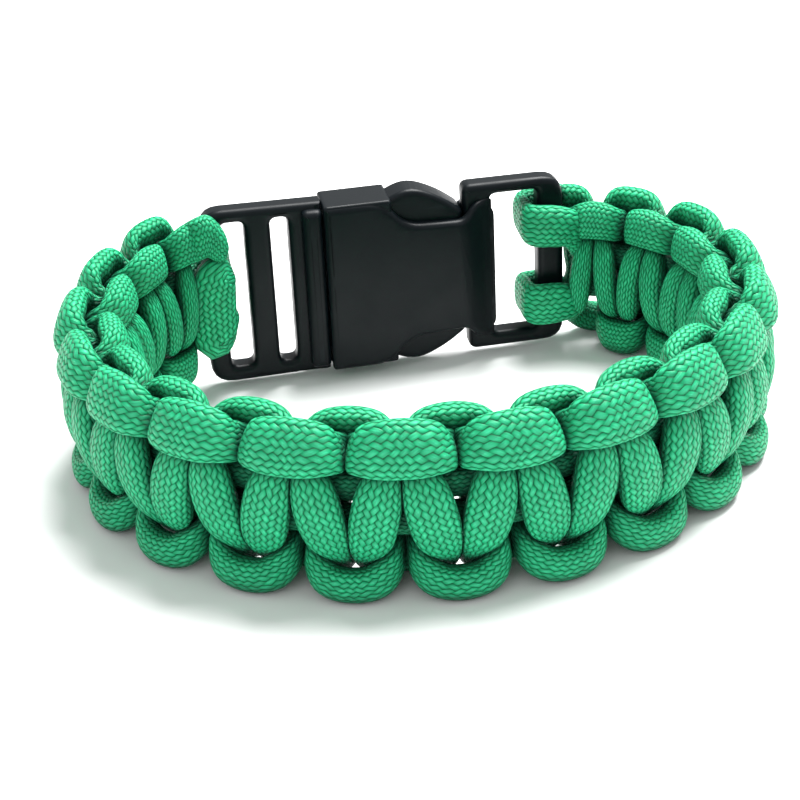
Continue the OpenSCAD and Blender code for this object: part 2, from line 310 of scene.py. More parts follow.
# the core's two runs: half the distance between them, half width and half thickness, in cords
CORE_APART, CORE_WIDE, CORE_THICK = 0.52, 0.43, 0.37


def tube_faces(rings, around):
    i, k = np.meshgrid(np.arange(rings - 1), np.arange(around), indexing="ij")
    n = (k + 1) % around
    quads = np.stack([i * around + k, i * around + n, (i + 1) * around + n, (i + 1) * around + k], -1)
    return quads.reshape(-1, 4)


def tree_of(rings):
    faces = tube_faces(len(rings), rings.shape[1])
    return BVHTree.FromPolygons(rings.reshape(-1, 3).tolist(), faces.tolist())


def pushes(points, tree, share):
    moves = np.zeros_like(points)
    for i, point in enumerate(points):
        near, normal, _, distance = tree.find_nearest(point, REACH)
        if near is None:
            continue
        side = Vector(point) - near
        depth = GAP + distance if side.dot(normal) < 0 else GAP - distance
        if depth > 0:
            moves[i] = np.array(normal) * depth * share
    return moves


def copies(rings, spans, turned=False):
    parts = [rings + [span * 2 * CELL, 0, 0] for span in spans]
    rings = np.vstack(parts)
    return rings * [1, -1, -1] if turned else rings


def core_rings(side):
    x = np.linspace(-4 * CELL, 6 * CELL, 80)
    middle = np.c_[x, 0 * x + side * CORE_APART * CORD, 0 * x]
    c, s = oval(20, 2)
    return middle[:, None] + np.stack([0 * c, CORE_WIDE * CORD * c, CORE_THICK * CORD * s], -1)[None]


def own_pushes(rings):
    long = copies(rings, (-1, 0, 1))
    moves = np.zeros_like(rings)
    for first in range(0, PERIOD, CHUNK):
        mine = rings[first:first + CHUNK]
        for part in (long[:PERIOD + first - CHUNK], long[PERIOD + first + 2 * CHUNK:]):
            push = pushes(mine.reshape(-1, 3), tree_of(part), 0.5)
            moves[first:first + CHUNK] += push.reshape(mine.shape)
    return moves


print("core runs", 2 * CORE_APART * CORD, "mm apart")

# %% [markdown]
# Each round moves both strands off each other, off the core and off their own next turns. The core doesn't
# give way, so a strand takes the whole of that move and only half of the others. One period of the weave is
# enough, as all are alike.

# %% Press the strands together
ROUNDS = 18
OVERSTEP = 1.25     # smoothing eats some of each move, so it is made a little longer


def settle(first, second, rounds):
    cores = [tree_of(core_rings(side)) for side in (1, -1)]
    strands = [first, second]
    for _ in range(rounds):
        others = [tree_of(copies(strands[1 - n], (-1, 0, 1), turned=True)) for n in (0, 1)]
        for n in (0, 1):
            rings = strands[n]
            moves = pushes(rings.reshape(-1, 3), others[n], 0.5)
            for core in cores:
                moves += pushes(rings.reshape(-1, 3), core, 1.0)
            moves = moves.reshape(rings.shape) + own_pushes(rings)
            worst = float(np.abs(moves).max())
            for _pass in range(2):
                moves = (moves * 2 + np.roll(moves, 1, 1) + np.roll(moves, -1, 1)
                         + np.roll(moves, 1, 0) + np.roll(moves, -1, 0)) / 6
            strands[n] = rings + moves * OVERSTEP
    print("largest move left", round(worst, 3), "mm")
    return strands


outer_period, inner_period = settle(outer_period, inner_period, ROUNDS)
low = min(outer_period[..., 1].min(), -inner_period[..., 1].max())
print("lowest point of the weave", round(low + BAND_MIDDLE, 2), "mm above the floor")

# %% [markdown]
# The settled period is copied along the whole band. The outer strand starts on the plug's bar, above the
# bridge of the core cord, and its last crossing runs off towards the socket's bar.

# %% Lay out both strands along a straight band
# each row: half knots from the first or last crossing; height, outward place, half width and half thickness
# in cords
TAIL = np.array([[0.10, 0.62, 0.815, 0.460, 0.350], [0.30, 1.10, 0.825, 0.400, 0.340],
                 [0.56, 1.42, 0.850, 0.370, 0.330]])
HEAD = np.array([[-2.10, 1.40, -0.81, 0.36, 0.26], [-2.02, 1.48, -0.82, 0.48, 0.32],
                 [-1.72, 1.77, -0.83, 0.62, 0.35], [-1.30, 2.04, -0.82, 0.66, 0.36],
                 [-0.85, 2.04, -0.78, 0.67, 0.37]])
HEAD_FADE, TAIL_FADE = 8, 6     # rings over which an end grows out of the settled weave


def straight_strand(turned):
    half = PERIOD // 2
    total = HALF_KNOTS * half
    index = np.arange(total + 1)
    rings = (inner_period if turned else outer_period)[index % PERIOD].copy()
    rings[:, :, 0] += ((index // PERIOD) * 2 * CELL)[:, None]
    if not turned:
        keep = total - half // 2
        rows = np.array(crossing_rows(HALF_KNOTS - 1, -1, 0, OUTER_UP, OUTER_DOWN)
                        + [[(HALF_KNOTS - 1 + r[0]) * CELL, -r[1] * CORD, r[2] * CORD, r[3] * CORD,
                            r[4] * CORD, math.pi * HALF_KNOTS, 0] for r in TAIL])
        tail = rings_of(smooth_rows(rows, SUBSTEPS))[SUBSTEPS:]
        fade = np.clip(np.arange(len(tail)) / TAIL_FADE, 0, 1)[:, None, None]
        tail += (rings[keep] - tail[0])[None] * (1 - fade)
        rows = np.array([[r[0] * CELL, r[1] * CORD, r[2] * CORD, r[4] * CORD, r[3] * CORD, math.pi / 2, 0]
                         for r in HEAD]
                        + crossing_rows(0, -LAST, -LAST + 1, OUTER_UP, OUTER_DOWN))
        head = rings_of(smooth_rows(rows, SUBSTEPS))[:len(HEAD) * SUBSTEPS + 1]
        fade = np.clip((np.arange(len(head)) - len(head) + 1 + HEAD_FADE) / HEAD_FADE, 0, 1)[:, None, None]
        head += (rings[0] - head[-1])[None] * fade
        rings = np.vstack([head[:-1], rings[:keep], tail])
    return rings * [1, -1, -1] if turned else rings


outer_rings, inner_rings = straight_strand(False), straight_strand(True)
print("rings in the outer and the inner strand", len(outer_rings), len(inner_rings))

# %% [markdown]
# The rings become a closed tube. Each free end gets a small rounded cap, as a melted end has. The tube
# carries its own UV map: millimetres along the cord one way, and the share of the way round it the other.
# The braid is drawn from that map, so it follows the cord through every knot.

# %% Tubes with a cap at each end
def capped(rings, steps=4, reach=0.9):
    parts = [rings]
    for end, inner in ((0, 1), (-1, -2)):
        middle = rings[end].mean(0)
        out = middle - rings[inner].mean(0)
        out /= np.linalg.norm(out)
        extra = []
        for i in range(1, steps + 1):
            a = math.pi / 2 * i / steps
            ring = middle + (rings[end] - middle) * max(math.cos(a), 0.02)
            extra.append(ring + out * reach * math.sin(a))
        parts = [np.array(extra[::-1])] + parts if end == 0 else parts + [np.array(extra)]
    return np.vstack(parts)


def strand_mesh(name, rings):
    count, around = rings.shape[:2]
    mesh = bpy.data.meshes.new(name)
    quads = tube_faces(count, around)
    first = list(range(around))[::-1]
    last = [(count - 1) * around + k for k in range(around)]
    faces = [first] + quads.tolist() + [last]
    mesh.from_pydata((rings.reshape(-1, 3) * MM).tolist(), [], faces)
    run = run_along(rings.mean(1))
    # the share of the way round is measured along the skin, so that flat sides keep even bricks
    sides = np.linalg.norm(np.roll(rings, -1, 1) - rings, axis=2)
    share = np.c_[np.zeros(count), np.cumsum(sides, 1)] / sides.sum(1)[:, None]
    uv = mesh.uv_layers.new(name="sheath")
    coords = np.zeros((len(mesh.loops), 2), np.float32)     # the first cap's corners come first
    i, k = np.meshgrid(np.arange(count - 1), np.arange(around), indexing="ij")
    u = np.stack([run[i], run[i], run[i + 1], run[i + 1]], -1).reshape(-1)
    v = np.stack([share[i, k], share[i, k + 1], share[i + 1, k + 1], share[i + 1, k]], -1).reshape(-1)
    coords[around:around + len(u)] = np.c_[u, v]
    uv.data.foreach_set("uv", coords.ravel())
    mesh.polygons.foreach_set("use_smooth", [True] * len(mesh.polygons))
    print(name, "cord length", round(float(run[-1])), "mm,", len(mesh.polygons), "faces")
    return put(name, mesh)


def in_band_axes(rings):
    return np.stack([rings[..., 0], -rings[..., 2], rings[..., 1]], -1)


outer = strand_mesh("outer_cord", in_band_axes(capped(outer_rings)))
inner = strand_mesh("inner_cord", in_band_axes(capped(inner_rings)))

# %% [markdown]
# Geometry Nodes bend the straight band round the loop. Each point's knot number gives its length along the
# path, the path gives the place and the outward direction there, and a little smooth noise makes the knots
# differ as hand-tied ones do. Both strands share one tree and one seed, so they stay fitted to each other.

# %% The tree that bends the band
SIZES = ("Pitch", "Half Knots", "Woven Half", "Path Half", "Crowding", "End Shift", "Spare", "Plug Rise",
         "Rise Length", "Band Middle", "Unevenness", "Seed")
NOISE_SCALE = 0.42      # so the noise changes over two or three half knots
# where each noise is read, which keeps the three apart, and its strength against Unevenness
ALONG_NOISE, OUTWARD_NOISE, HEIGHT_NOISE = (3.7, 1.0), (9.1, 0.8), (17.3, 60.0)


def bend_tree():
    tree = bpy.data.node_groups.new("bend_band_round_loop", "GeometryNodeTree")
    new = partial(add, tree)
    face = tree.interface
    face.new_socket("Geometry", in_out="INPUT", socket_type="NodeSocketGeometry")
    face.new_socket("Path", in_out="INPUT", socket_type="NodeSocketObject")
    for name in SIZES:
        face.new_socket(name, in_out="INPUT", socket_type="NodeSocketFloat")
    face.new_socket("Material", in_out="INPUT", socket_type="NodeSocketMaterial")
    face.new_socket("Geometry", in_out="OUTPUT", socket_type="NodeSocketGeometry")
    given = new("NodeGroupInput").outputs
    at = new("ShaderNodeSeparateXYZ", {0: new("GeometryNodeInputPosition")}).outputs
    knot = new("DIVIDE", at["X"], given["Pitch"])

    def uneven(offset, size):
        spot = new("ShaderNodeCombineXYZ", {"X": knot, "Y": offset, "Z": given["Seed"]})
        noise = new("ShaderNodeTexNoise", {"Vector": spot, "Scale": NOISE_SCALE, "Detail": 1.0})
        centred = new("SUBTRACT", noise, 0.5)
        strength = new("MULTIPLY", given["Unevenness"], size)
        return new("MULTIPLY", centred, strength)

    # u runs from -1 at the plug to 1 at the socket, and the knots crowd together towards both
    half = new("MULTIPLY", given["Half Knots"], 0.5)
    middle_knot = new("SUBTRACT", half, 0.5)
    u = new("SUBTRACT", knot, middle_knot)
    u = new("DIVIDE", u, half)
    cubed = new("POWER", new("ABSOLUTE", u), 3.0)
    cubed = new("MULTIPLY", given["Crowding"], cubed)
    signed = new("MULTIPLY", cubed, new("SIGN", u))
    spread = new("ADD", given["Crowding"], 1.0)
    spread = new("MULTIPLY", u, spread)
    run = new("SUBTRACT", spread, signed)
    run = new("MULTIPLY", given["Woven Half"], run)
    shift = new("POWER", u, 4.0)
    shift = new("MULTIPLY", given["End Shift"], shift)
    run = new("ADD", run, shift)
    run = new("ADD", run, uneven(*ALONG_NOISE))
    # near the plug the band climbs to the level of the buckle
    from_plug = new("ADD", run, given["Path Half"])
    from_plug = new("DIVIDE", from_plug, given["Rise Length"])
    climb = new("SUBTRACT", 1.0, from_plug)
    climb = new("MAXIMUM", climb, 0.0)
    climb = new("POWER", climb, RISE_POWER)
    climb = new("MULTIPLY", climb, given["Plug Rise"])
    # the path gives the place there, and its direction turned a quarter way round points outwards
    curve = new("GeometryNodeObjectInfo", {"Object": given["Path"]}, transform_space="RELATIVE")
    start = new("ADD", given["Path Half"], given["Spare"])
    length = new("ADD", run, start)
    spot = new("GeometryNodeSampleCurve", {"Curves": curve.outputs["Geometry"], "Length": length},
               mode="LENGTH", use_all_curves=True)
    out = new("ShaderNodeVectorMath", spot.outputs["Tangent"], (0.0, 0.0, 1.0),
              operation="CROSS_PRODUCT")
    out = new("ShaderNodeVectorMath", out, operation="NORMALIZE")
    outward = new("MULTIPLY", at["Y"], -1.0)
    outward = new("ADD", outward, uneven(*OUTWARD_NOISE))
    moved = new("ShaderNodeVectorMath", {0: out, "Scale": outward}, operation="SCALE")
    taller = new("ADD", uneven(*HEIGHT_NOISE), 1.0)
    high = new("MULTIPLY", at["Z"], taller)
    high = new("ADD", high, given["Band Middle"])
    high = new("ADD", high, climb)
    place = new("ShaderNodeVectorMath", spot.outputs["Position"], moved, operation="ADD")
    lift = new("ShaderNodeCombineXYZ", {"Z": high})
    place = new("ShaderNodeVectorMath", place, lift, operation="ADD")
    bent = new("GeometryNodeSetPosition", {"Geometry": given["Geometry"], "Position": place})
    whole = new("GeometryNodeRealizeInstances", {"Geometry": bent})
    done = new("GeometryNodeSetMaterial", {"Geometry": whole, "Material": given["Material"]})
    new("NodeGroupOutput", {"Geometry": done})
    return tree


def set_inputs(modifier, **values):
    for item in modifier.node_group.interface.items_tree:
        if item.item_type == "SOCKET" and item.in_out == "INPUT" and item.name in values:
            modifier[item.identifier] = values[item.name]


def plain_mesh(obj):
    bpy.context.view_layer.update()
    seen = obj.evaluated_get(bpy.context.evaluated_depsgraph_get())
    mesh = bpy.data.meshes.new_from_object(seen)
    obj.modifiers.clear()
    obj.data = mesh
    return obj


BEND = bend_tree()
print("nodes in the bending tree", len(BEND.nodes))

# %% [markdown]
# Three small liberties follow the photograph after the bend. The lower edge is drawn in, so the band stands
# as a shallow cone. The left side leans out a little at the top. A loop that would dip below the table
# flattens against it instead. The first two fade out towards the buckle, which is rigid.

# %% Bend a strand and stand it on the table
UNEVENNESS = 0.7                    # the span in which a knot strays from its place, in mm
TOUCH = 0.3                         # height below which a loop flattens, in mm
DRAWN_IN = 0.0017                   # share by which the band closes in for each mm below its middle
FADE_FROM, FADE_OVER = 22, 12       # y where the drawing in starts to fade, and over what length, in mm
LEAN, LEAN_OVER = 0.45, 20          # the left side's share of it above the middle, in full from this x on


def bend(obj, material):
    modifier = obj.modifiers.new("bend", "NODES")
    modifier.node_group = BEND
    set_inputs(modifier, **{"Path": band_path, "Pitch": CELL * MM, "Half Knots": float(HALF_KNOTS),
                            "Woven Half": WOVEN_HALF * MM, "Path Half": PATH_HALF * MM, "Crowding": CROWDING,
                            "End Shift": END_SHIFT * MM, "Spare": SPARE * MM, "Plug Rise": PLUG_RISE * MM,
                            "Rise Length": RISE_LENGTH * MM, "Band Middle": BAND_MIDDLE * MM,
                            "Unevenness": UNEVENNESS * MM, "Seed": 4.0, "Material": material})
    plain_mesh(obj)
    for vertex in obj.data.vertices:
        high = vertex.co.z / MM - BAND_MIDDLE
        away = min(1, max(0, (FADE_FROM - vertex.co.y / MM) / FADE_OVER))
        if high > 0:
            away *= LEAN * min(1, max(0, -vertex.co.x / MM / LEAN_OVER))
        vertex.co.x *= 1 + DRAWN_IN * high * away
        vertex.co.y *= 1 + DRAWN_IN * high * away
        if vertex.co.z < TOUCH * MM:
            vertex.co.z = TOUCH * MM * math.exp(vertex.co.z / (TOUCH * MM) - 1)
    return obj


print("the lower edge closes in by", round(100 * DRAWN_IN * BAND_MIDDLE, 1), "% at the table")

# %% [markdown]
# The core is the same cord. It starts on the outside of the socket's bar, goes round it and along the band
# to the plug's bar, crosses over on the wrist's side of that bar as the bridge of a lark's head, and comes
# back. The tables give the turns at both bars, where the cord is pulled flat against the plastic.

# %% Tables of the core's turns at the bars
BAR_OUT = FRAME_THICK / 2 + 0.40 * CORD + 0.1                   # the cord's middle line in front of a bar
END_PLACE = PATH_HALF - float(knot_place(HALF_KNOTS - 1))       # from the bar to the last half knot
PITCH = 1.175 * CORD                                            # between half knots, about
# reach from the bar's middle towards the band and outward place in mm; height, half width up and half
# thickness in cords
SOCKET_WRAP = [
    [0, BAR_OUT, 1.46, 0.54, 0.34],
    [-END_BAR / 2 - 0.26 * CORD, 0.79 * BAR_OUT, 1.42, 0.60, 0.28],
    [-END_BAR / 2 - 0.34 * CORD, 0, 1.36, 0.66, 0.27],
    [-END_BAR / 2 - 0.24 * CORD, -0.79 * BAR_OUT, 1.36, 0.69, 0.30],
    [0, -BAR_OUT, 1.32, 0.67, 0.36],
    [END_BAR / 2 + 0.14 * CORD, -0.84 * BAR_OUT, 1.20, 0.58, 0.29],
    [END_BAR / 2 + 0.50 * CORD, -0.30 * BAR_OUT, 0.74, 0.46, 0.28]]
UPPER_RETURN = [[END_PLACE - 0.30 * PITCH, 0.86 * CORD, 1.76, 0.50, 0.30]]
LOWER_RETURN = [[END_PLACE - 0.42 * PITCH, 0.86 * CORD, 1.56, 0.44, 0.32]]
# the last column is the share of a quarter turn of the flattened cord where it bends up the bar
PLUG_WRAP = [
    [PLUG_BAR / 2 + 0.56 * CORD, 0.38 * BAR_OUT, 0.57, 0.37, 0.28, 0],
    [PLUG_BAR / 2 + 0.18 * CORD, 0.80 * BAR_OUT, 0.78, 0.44, 0.27, 0],
    [0, 0.98 * BAR_OUT, 0.84, 0.46, 0.32, 0],
    [-PLUG_BAR / 2 + 0.08 * CORD, 0.78 * BAR_OUT, 0.86, 0.42, 0.17, 0],
    [-PLUG_BAR / 2 + 0.06 * CORD, 0, 0.86, 0.42, 0.12, 0],
    [-PLUG_BAR / 2 + 0.10 * CORD, -0.74 * BAR_OUT, 0.88, 0.44, 0.19, 0.25],
    [0.16 * PLUG_BAR, -BAR_OUT, 1.02, 0.60, 0.33, 0.55],
    [0.52 * PLUG_BAR, -BAR_OUT, 0.40, 0.73, 0.36, 1]]
PLUG_WRAP_BELOW = PLUG_WRAP[:-2] + [
    [0.50 * PLUG_BAR, -BAR_OUT, 1.28, 0.64, 0.34, 0.50],
    [0.60 * PLUG_BAR, -BAR_OUT, 0.52, 0.73, 0.36, 1]]
print("the last half knot is", round(END_PLACE, 2), "mm from the bar")

# %% [markdown]
# Between the bars the core runs straight through the knots, one row at each. Every row gives a place, half
# a width, half a thickness and the direction of its wide side, and the same curve function smooths them.

# %% Core cord
PLUG_END_LIFT = BUCKLE_LIFT + 0.4       # the core sits a little above the buckle's middle at the plug
LIFT_OVER = 0.48 * CORD                 # length in which the core comes down from the socket's bar
RUN_WIDE, RUN_THICK = 0.415, 0.365      # half width and half thickness inside the knots, in cords
CORE_AROUND, CORE_SQUARENESS = 24, 2.4


def on_band(s, v):
    return [np.interp(s + PATH_HALF, RUN, LINE[:, k]) for k in (0, 1)] + [BAND_MIDDLE + v + rise(s)]


def at_bar(side, row, up):
    lift = BUCKLE_LIFT * max(0, 1 - max(0, row[0] - END_BAR / 2) / LIFT_OVER)
    if side < 0:
        lift = min(PLUG_END_LIFT, rise(row[0] - PATH_HALF))
    place = [side * (BAR_HALF + row[0]), row[1] + SHIFT_Y, up * row[2] * CORD + BAND_MIDDLE + lift]
    turn = math.pi / 2 * (row[5] if len(row) > 5 else 0)
    return place + [row[3] * CORD, row[4] * CORD, -math.sin(turn), 0, up * math.cos(turn)]


def core_run(up):
    order = range(HALF_KNOTS - 1, -1, -1) if up > 0 else range(HALF_KNOTS)
    size = [RUN_WIDE * CORD, RUN_THICK * CORD, 0, 0, up]
    return [on_band(float(knot_place(j)), up * CORE_APART * CORD) + size for j in order]


CORE_ROWS = ([at_bar(1, row, 1) for row in UPPER_RETURN + SOCKET_WRAP] + core_run(1)
             + [at_bar(-1, row, 1) for row in PLUG_WRAP]
             + [at_bar(-1, row, -1) for row in PLUG_WRAP_BELOW[::-1]]
             + core_run(-1) + [at_bar(1, row, -1) for row in (LOWER_RETURN + SOCKET_WRAP)[::-1]])


core_rows = smooth_rows(CORE_ROWS, SUBSTEPS)
core_stack = ring_stack(core_rows, core_rows[:, 5:8], 0, CORE_AROUND, CORE_SQUARENESS)
core = strand_mesh("core_cord_dressed", capped(core_stack, reach=0.6))

# %% [markdown]
# Colours are written as the sRGB hex values that an eye would pick, and one function turns them to the
# linear values that the shaders work in.

# %% Colour helper
def linear(code):
    values = [int(code[i:i + 2], 16) / 255 for i in (0, 2, 4)]
    return (*[v / 12.92 if v <= 0.04045 else ((v + 0.055) / 1.055) ** 2.4 for v in values], 1.0)


print("bright cord green in linear light", [round(v, 3) for v in linear("32b482")[:3]])

# %% [markdown]
# The cord is braided nylon, with a sheath of flat yarns that run both ways round it, each over two and
# under two. That makes rows of small leaning bricks along the cord, with a dark zigzag between rows, which
# is painted shade in the grooves. The pattern is worked out from the cord's own UV map, which runs in
# millimetres along the cord and in shares round it. Each yarn is a low rounded bump that dips at its ends,
# so the sheath shows its grain without a single extra face. Its colour is painted darker in the dips, as
# painted shade, and lighter on the crowns, as painted highlight.

# %% Braided nylon
ROWS_ROUND = 20         # rows of bricks round the cord, 0.6 mm each on a 4 mm cord
LAY = 0.88              # length of one step of the braid along the cord, in mm
DRIFT = 0.55            # how unevenly the braid lies, in bricks
FILAMENTS = 7.0         # fine ridges across one yarn
DRIFT_SCALE = 420.0     # the unevenness changes every 2 to 3 mm
# the reach of the painted shade between cords, in mm
SHADE_REACH = 3.2      # cords nearer than this darken each other's yarn, in mm
YARN_RELIEF = 0.26      # height of the rounded yarns, in mm


def braided_nylon(name, lit, deep, seam_shade, hollow_shade):
    material, tree, shader, new = start_material(name)
    uv = new("ShaderNodeUVMap", uv_map="sheath")
    at = new("ShaderNodeSeparateXYZ", {0: uv}).outputs
    spot = new("ShaderNodeTexCoord").outputs["Object"]
    # the braid is never quite even, so its bricks drift a little to either side
    drift = new("ShaderNodeTexNoise", {"Vector": spot, "Scale": DRIFT_SCALE, "Detail": 1.0})
    drift = new("ShaderNodeSeparateXYZ", {0: drift.outputs["Color"]}).outputs
    slip = [new("SUBTRACT", drift[axis], 0.5) for axis in "XY"]
    slip = [new("MULTIPLY", way, DRIFT) for way in slip]
    along = new("DIVIDE", at["X"], LAY)
    along = new("ADD", along, slip[0])
    around = new("MULTIPLY", at["Y"], float(ROWS_ROUND))
    around = new("ADD", around, slip[1])
    # two families of yarn cross on the slant: i, j count the yarns, fa, fb say how far across them a spot is
    a = new("ADD", along, around)
    b = new("SUBTRACT", along, around)
    i, j = new("FLOOR", a), new("FLOOR", b)
    fa, fb = new("SUBTRACT", a, i), new("SUBTRACT", b, j)
    k = new("FLOORED_MODULO", new("SUBTRACT", i, j), 4.0)
    first = new("LESS_THAN", k, 1.5)
    second = new("SUBTRACT", 1.0, first)
    even = new("FLOORED_MODULO", k, 2.0)
    even = new("COMPARE", even, 0.0, 0.1)

    def by_family(one, two):
        one = new("MULTIPLY", first, one)
        return new("ADD", one, new("MULTIPLY", second, two))

    across, other = by_family(fa, fb), by_family(fb, fa)
    # the first family meets its second half when k is 0, the second family when k is 3
    late = by_family(even, new("SUBTRACT", 1.0, even))
    length = new("MULTIPLY", new("ADD", other, late), 0.5)

    def rounded(share, power):
        angle = new("MULTIPLY", share, math.pi)
        return new("POWER", new("SINE", angle), power)

    # neighbours in a row lie close, so the dip between them is shallow; the dip between rows is deep
    shallow = new("MULTIPLY", rounded(across, 0.5), 0.45)
    shallow = new("ADD", shallow, 0.55)
    height = new("MULTIPLY", shallow, rounded(length, 0.55))
    # each brick of yarn takes the dye and the light a little differently; the 31 keeps both families apart
    family = new("MULTIPLY", first, 31.0)
    pair = new("FLOOR", new("MULTIPLY", j, 0.5))
    brick = new("ShaderNodeCombineXYZ", new("ADD", i, family), pair)
    vary = new("ShaderNodeTexWhiteNoise", {"Vector": brick}, noise_dimensions="3D").outputs["Value"]
    # fine filaments run along each yarn
    threads = new("ShaderNodeCombineXYZ", new("MULTIPLY", across, FILAMENTS),
                  length, new("MULTIPLY", vary, 40.0))
    fibre = new("ShaderNodeTexNoise", {"Vector": threads, "Scale": 1.0, "Detail": 1.0}).outputs[0]
    # painted shade and painted highlight: the colour goes to the seam colour in the low dips between yarns
    # and to the lit colour on their raised crowns
    raised = new("ShaderNodeMapRange", {0: height, 1: 0.12, 2: 0.62, 3: 0.0, 4: 1.0}).outputs[0]
    body = new(MIX, {0: raised, 6: linear(seam_shade), 7: linear(deep)}, data_type="RGBA").outputs[2]
    crown = new("ShaderNodeMapRange", {0: height, 1: 0.60, 2: 1.0, 3: 0.0, 4: 1.0}).outputs[0]
    body = new(MIX, {0: crown, 6: body, 7: linear(lit)}, data_type="RGBA").outputs[2]
    shade = new("ShaderNodeMapRange", {0: vary, 1: 0.0, 2: 1.0, 3: 0.86, 4: 1.12}).outputs[0]
    grain = new("ShaderNodeMapRange", {0: fibre, 1: 0.3, 2: 0.7, 3: 0.82, 4: 1.16}).outputs[0]
    level = new("MULTIPLY", shade, grain)
    grey = new("ShaderNodeCombineXYZ", {"X": level, "Y": level, "Z": level})
    colour = new(MIX, {0: 1.0, 6: body, 7: grey}, data_type="RGBA", blend_type="MULTIPLY").outputs[2]
    # painted shade: deep between two cords the colour is painted darker and bluer, for the shade there,
    # where only light off green yarn gets
    open_air = new("ShaderNodeAmbientOcclusion", {"Distance": SHADE_REACH * MM}, samples=8)
    open_air = open_air.outputs["AO"]
    painted_shade = new("ShaderNodeMapRange", {0: open_air, 1: 0.25, 2: 0.80, 3: 0.85, 4: 0.0}).outputs[0]
    colour = new(MIX, {0: painted_shade, 6: colour, 7: linear(hollow_shade)}, data_type="RGBA").outputs[2]
    lift = new("ADD", height, new("MULTIPLY", fibre, 0.20))
    bump = new("ShaderNodeBump", {"Strength": 0.9, "Distance": YARN_RELIEF * MM, "Height": lift})
    rough = new("ShaderNodeMapRange", {0: raised, 1: 0.0, 2: 1.0, 3: 0.80, 4: 0.46}).outputs[0]
    fill(tree, shader, {"Base Color": colour, "Normal": bump, "Roughness": rough, "IOR": 1.53,
                        "Specular IOR Level": 0.20, "Sheen Weight": 0.03, "Sheen Roughness": 0.4,
                        "Sheen Tint": linear("9fe8c4")})
    return material


# painted highlight on the lit crowns, body of the yarns, painted shade in the seams and in the hollows
# between two cords
GREENS = ("32b482", "069c64", "003f28", "0a3f2e")
outer_nylon = braided_nylon("braided_nylon_outer_strand", *GREENS)
inner_nylon = braided_nylon("braided_nylon_inner_strand", *GREENS)
core_nylon = braided_nylon("braided_nylon_core", *GREENS)
print("nodes in one braid", len(core_nylon.node_tree.nodes))

# %% [markdown]
# Now each strand is bent and given its nylon. Every dressed cord rides on the bracelet's one body and stands
# for its CAD solid.

# %% Dress the three cords
outer = bend(outer, outer_nylon)
inner = bend(inner, inner_nylon)
bpy.data.objects.remove(band_path)
core.data.materials.append(core_nylon)
for piece, node, slot in ((outer, "outer_strand", "cord_outer"), (inner, "inner_strand", "cord_inner"),
                          (core, "core_cord", "cord_core")):
    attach(piece, "root")
    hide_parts(node)
    print(piece.name, [tuple(round(c / MM, 1) for c in corner) for corner in
                       (np.min([v.co[:] for v in piece.data.vertices], 0),
                        np.max([v.co[:] for v in piece.data.vertices], 0))])

# %% [markdown]
# The buckle is two mouldings. A moulded plate has its outline, its slots and one soft edge all round. The
# outlines are drawn as corners with a radius each, in millimetres from the plug's outer end.

# %% Outlines with soft corners
START, HALF_Z = -BAR_HALF - PLUG_BAR / 2, BUCKLE_HEIGHT / 2
END_SLOT_START = BUCKLE_LENGTH - END_BAR - END_SLOT
HALL_END = END_SLOT_START - END_WALL
RAIL = 1.8                      # what is left of a frame above and below its slots, in mm
SLOT_TOP = HALF_Z - RAIL


def soft_corners(points, steps=6):
    """Round each corner of an outline. Every point is x, z and the radius of its corner, in mm."""
    out = []
    for i, (x, z, radius) in enumerate(points):
        corner = np.array([x, z])
        before = np.array(points[i - 1][:2]) - corner
        after = np.array(points[(i + 1) % len(points)][:2]) - corner
        reach = min(radius, 0.49 * np.linalg.norm(before), 0.49 * np.linalg.norm(after))
        a = corner + before / np.linalg.norm(before) * reach
        b = corner + after / np.linalg.norm(after) * reach
        for t in np.linspace(0, 1, steps if radius else 1):
            out.append((1 - t) ** 2 * a + 2 * t * (1 - t) * corner + t**2 * b)
    return out


def box_outline(x0, x1, z0, z1, radius):
    return soft_corners([(x0, z0, radius), (x1, z0, radius), (x1, z1, radius), (x0, z1, radius)])


def both_ways(upper):
    """An outline from its upper half: the lower half is its mirror image."""
    return soft_corners(upper + [(x, -z, radius) for x, z, radius in upper[::-1]])


def turning(points):
    """Twice the signed area, so it tells which way round an outline runs."""
    x, z = np.array(points).T
    return float(np.sum(x * np.roll(z, -1) - np.roll(x, -1) * z))


print("plug starts at x", round(START, 2), "mm, the socket's slot", round(START + END_SLOT_START, 2), "mm")

# %% [markdown]
# A plate could be an extruded outline with a bevel modifier. A flat curve does both at once: its fill makes
# the faces and its bevel the soft edge, also round the slots, and it never breaks at a tight corner.

# %% A moulded plate
def plate(outline, holes, thick, soft, middle=0.0):
    """A plate standing in the buckle's plane, with every edge rounded by the given radius."""
    curve = bpy.data.curves.new("plate", "CURVE")
    curve.dimensions, curve.fill_mode = "2D", "BOTH"
    curve.bevel_depth, curve.bevel_resolution = soft * MM, 3
    curve.extrude, curve.offset = (thick / 2 - soft) * MM, -soft * MM
    for points, way in [(outline, 1)] + [(hole, -1) for hole in holes]:
        points = points if turning(points) * way > 0 else points[::-1]
        spline = curve.splines.new("POLY")
        spline.points.add(len(points) - 1)
        for point, (x, z) in zip(spline.points, points):
            point.co = (x * MM, z * MM, 0, 1)
        spline.use_cyclic_u = True
    obj = put("plate", curve)
    bpy.context.view_layer.update()
    mesh = bpy.data.meshes.new_from_object(obj.evaluated_get(bpy.context.evaluated_depsgraph_get()))
    bpy.data.objects.remove(obj)
    for vertex in mesh.vertices:
        x, z, y = vertex.co
        vertex.co = (x, -y + middle * MM, z)
    return mesh


print("helper ready:", plate.__name__)

